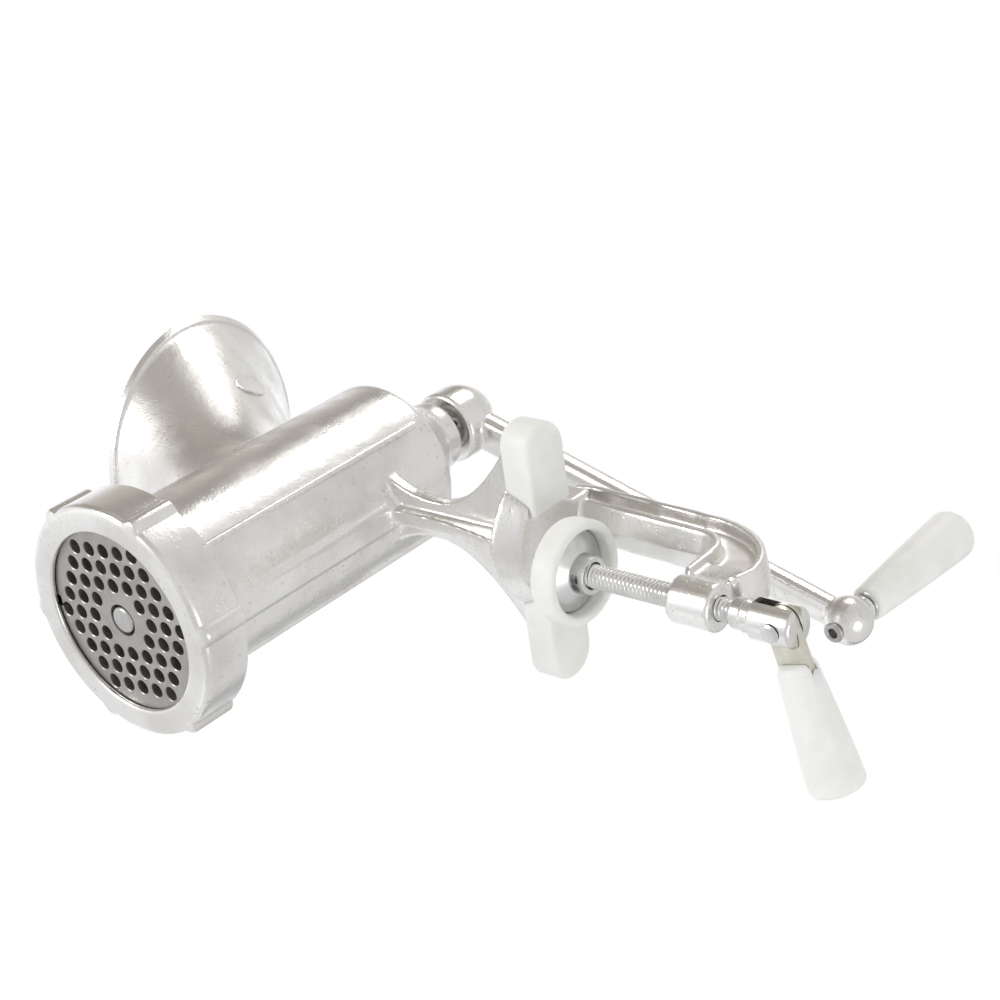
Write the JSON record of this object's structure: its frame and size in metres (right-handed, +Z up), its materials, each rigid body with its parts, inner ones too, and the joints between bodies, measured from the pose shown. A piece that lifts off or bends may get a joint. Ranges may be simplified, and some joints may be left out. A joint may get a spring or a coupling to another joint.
{
  "type": "hand crank meat grinder",
  "caption": "Clamp-on hand crank meat grinder: hopper and barrel casting, ring nut over a perforated plate, auger and knife, crank with spinning grip, C-frame screw clamp with folding lever.",
  "frame": {"origin": "on the clamp screw's axis, in the plane of the table top that the two jaw pads rest on", "axes": "+Z up along the clamp screw towards the hopper, -Y out of the outlet, +Y towards the crank, +X to the right of someone facing the outlet"},
  "size_m": [0.1026, 0.2366, 0.2915],
  "materials": {
    "cast_aluminium": "bright tumbled casting",
    "ring_aluminium": "bright tumbled casting",
    "crank_aluminium": "bright tumbled casting",
    "plate_steel": "ground steel",
    "pin_steel": "turned steel",
    "knife_steel": "ground steel",
    "auger_iron": "tinned casting",
    "stud_steel": "ground steel",
    "washer_white": "moulded",
    "screw_zinc": "bright zinc plate",
    "screw_bright_zinc": "bright zinc plate",
    "lever_zinc": "zinc plate",
    "grip_white": "satin moulded polyethylene",
    "pad_white": "soft moulded plastic"
  },
  "bodies": {
    "body": {"body_casting": "cast_aluminium", "jaw_pad_right": "pad_white", "jaw_pad_left": "pad_white", "plate_key_pin": "pin_steel"},
    "outlet_plate": {"perforated_plate": "plate_steel"},
    "ring": {"ring_nut": "ring_aluminium"},
    "crank": {"auger": "auger_iron", "auger_stud": "stud_steel", "cutting_knife": "knife_steel", "thrust_washer": "washer_white", "crank_arm": "crank_aluminium", "crank_fixing_screw": "screw_zinc", "handle_pin": "pin_steel", "grip_washer": "screw_zinc"},
    "grip": {"crank_grip": "grip_white"},
    "clamp_pad": {"clamp_pad_cap": "pad_white", "clamp_swivel_disc": "screw_zinc"},
    "screw": {"clamp_screw": "screw_bright_zinc", "swivel_retainer": "pin_steel", "lever_rivet": "screw_zinc"},
    "lever": {"clamp_lever": "lever_zinc", "lever_grip": "grip_white"}
  },
  "joints": [
    {"name": "crank_turn", "type": "hinge", "parent": "body", "child": "crank", "pos_m": [0, 0, 0.095], "axis": [0, 1, 0], "continuous": true},
    {"name": "grip_spin", "type": "hinge", "parent": "crank", "child": "grip", "pos_m": [-0.04493, 0.087, -0.06377], "axis": [0, 1, 0], "continuous": true},
    {"name": "plate_slide", "type": "slide", "parent": "body", "child": "outlet_plate", "axis": [0, -1, 0], "range_m": [0, 0.01201]},
    {"name": "ring_turn", "type": "hinge", "parent": "outlet_plate", "child": "ring", "pos_m": [0, -0.088, 0.095], "axis": [0, -1, 0], "range_deg": [0, 1080]},
    {"name": "pad_slide", "type": "slide", "parent": "body", "child": "clamp_pad", "axis": [0, 0, 1], "range_m": [-0.02401, 0.00451]},
    {"name": "screw_turn", "type": "hinge", "parent": "clamp_pad", "child": "screw", "pos_m": [0, 0, 0], "axis": [0, 0, 1], "range_deg": [-5760, 1080]},
    {"name": "lever_swing", "type": "hinge", "parent": "screw", "child": "lever", "pos_m": [0, 0, -0.0929], "axis": [0, -1, 0], "range_deg": [-16, 150]}
  ],
  "couplings": [
    {"joint": "plate_slide", "follows": "ring_turn", "m_per_rad": 0.00063662},
    {"joint": "pad_slide", "follows": "screw_turn", "m_per_rad": 0.00023873}
  ]
}
